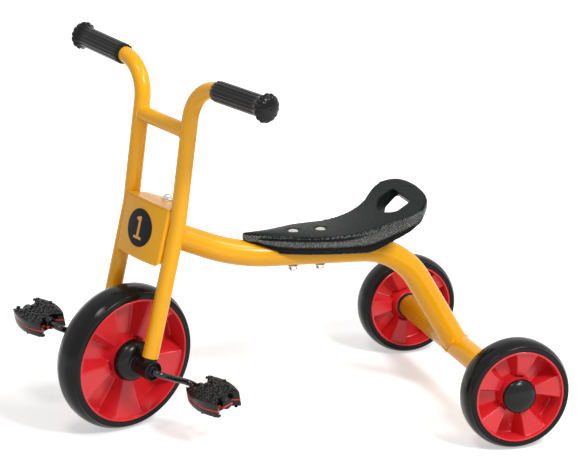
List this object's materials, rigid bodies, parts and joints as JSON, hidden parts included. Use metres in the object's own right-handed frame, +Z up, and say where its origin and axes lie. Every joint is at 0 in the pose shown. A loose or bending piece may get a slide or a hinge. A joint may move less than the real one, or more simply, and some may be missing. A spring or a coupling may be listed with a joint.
{
  "type": "child's tricycle",
  "caption": "Child's ride-on tricycle with a bent backbone tube, moulded saddle with a grab hole, raked steering fork with ribbed grips, and pedals on the cranked front axle.",
  "frame": {"origin": "middle of the base of the object's bounding box, on the ground", "axes": "+X to the rider's left, -Y forward, +Z up"},
  "size_m": [0.53, 0.78, 0.5972],
  "materials": {
    "yellow_paint": "gloss powder coat",
    "black_plastic": "moulded, satin",
    "grip_plastic": "moulded, ribbed",
    "saddle_plastic": "moulded, fine grain",
    "red_plastic": "moulded, gloss",
    "tyre": "smooth tread",
    "bright_steel": "zinc plated",
    "axle_steel": "drawn bar",
    "crank_paint": "gloss black",
    "number_ink": "printed film"
  },
  "bodies": {
    "frame": {"main_tube": "yellow_paint", "head_tube": "yellow_paint", "head_bush_top": "black_plastic", "head_bush_bottom": "black_plastic", "rear_axle_tube": "yellow_paint", "axle_plug_left": "black_plastic", "axle_plug_right": "black_plastic", "rear_axle": "axle_steel", "rear_push_nut_left": "bright_steel", "rear_push_nut_right": "bright_steel", "saddle": "saddle_plastic", "saddle_bolt_front": "bright_steel", "saddle_bolt_rear": "bright_steel", "saddle_nut_front": "bright_steel", "saddle_nut_rear": "bright_steel"},
    "fork": {"fork_leg_left": "yellow_paint", "fork_leg_right": "yellow_paint", "fork_cross_tube": "yellow_paint", "bracket_front": "yellow_paint", "bracket_top": "yellow_paint", "bracket_bottom": "yellow_paint", "number_disc": "number_ink", "king_bolt": "bright_steel", "king_nut": "bright_steel", "grip_left": "grip_plastic", "grip_right": "grip_plastic", "bearing_plug_left": "black_plastic", "bearing_plug_right": "black_plastic", "plug_rivet_left": "bright_steel", "plug_rivet_right": "bright_steel"},
    "front_wheel": {"front_tyre": "tyre", "front_disc": "red_plastic", "front_hub_left": "black_plastic", "front_hub_right": "black_plastic", "crank_rod": "crank_paint"},
    "pedal_left": {"pedal_left_top": "black_plastic", "pedal_left_core": "red_plastic", "pedal_left_bottom": "black_plastic"},
    "rear_wheel_left": {"rear_tyre_left": "tyre", "rear_disc_left": "red_plastic", "rear_cap_left": "black_plastic"},
    "pedal_right": {"pedal_right_top": "black_plastic", "pedal_right_core": "red_plastic", "pedal_right_bottom": "black_plastic"},
    "rear_wheel_right": {"rear_tyre_right": "tyre", "rear_disc_right": "red_plastic", "rear_cap_right": "black_plastic"}
  },
  "joints": [
    {"name": "steering", "type": "hinge", "parent": "frame", "child": "fork", "pos_m": [0, -0.22507, 0.11202], "axis": [0, 0.2028, 0.9792], "range_deg": [-87.7, 42.3]},
    {"name": "front_axle", "type": "hinge", "parent": "fork", "child": "front_wheel", "pos_m": [0.00772, -0.24313, 0.11577], "axis": [0.9225, 0.3779, -0.0783], "continuous": true},
    {"name": "pedal_spindle_left", "type": "hinge", "parent": "front_wheel", "child": "pedal_left", "pos_m": [-0.0175, -0.18707, 0.08911], "axis": [0.9225, 0.3779, -0.0783], "continuous": true},
    {"name": "pedal_spindle_right", "type": "hinge", "parent": "front_wheel", "child": "pedal_right", "pos_m": [0.03294, -0.29919, 0.14242], "axis": [0.9225, 0.3779, -0.0783], "continuous": true},
    {"name": "rear_axle_left", "type": "hinge", "parent": "frame", "child": "rear_wheel_left", "pos_m": [0.2344, 0.30525, 0.08474], "axis": [1, 0, 0], "continuous": true},
    {"name": "rear_axle_right", "type": "hinge", "parent": "frame", "child": "rear_wheel_right", "pos_m": [-0.2344, 0.30525, 0.08474], "axis": [1, 0, 0], "continuous": true}
  ]
}
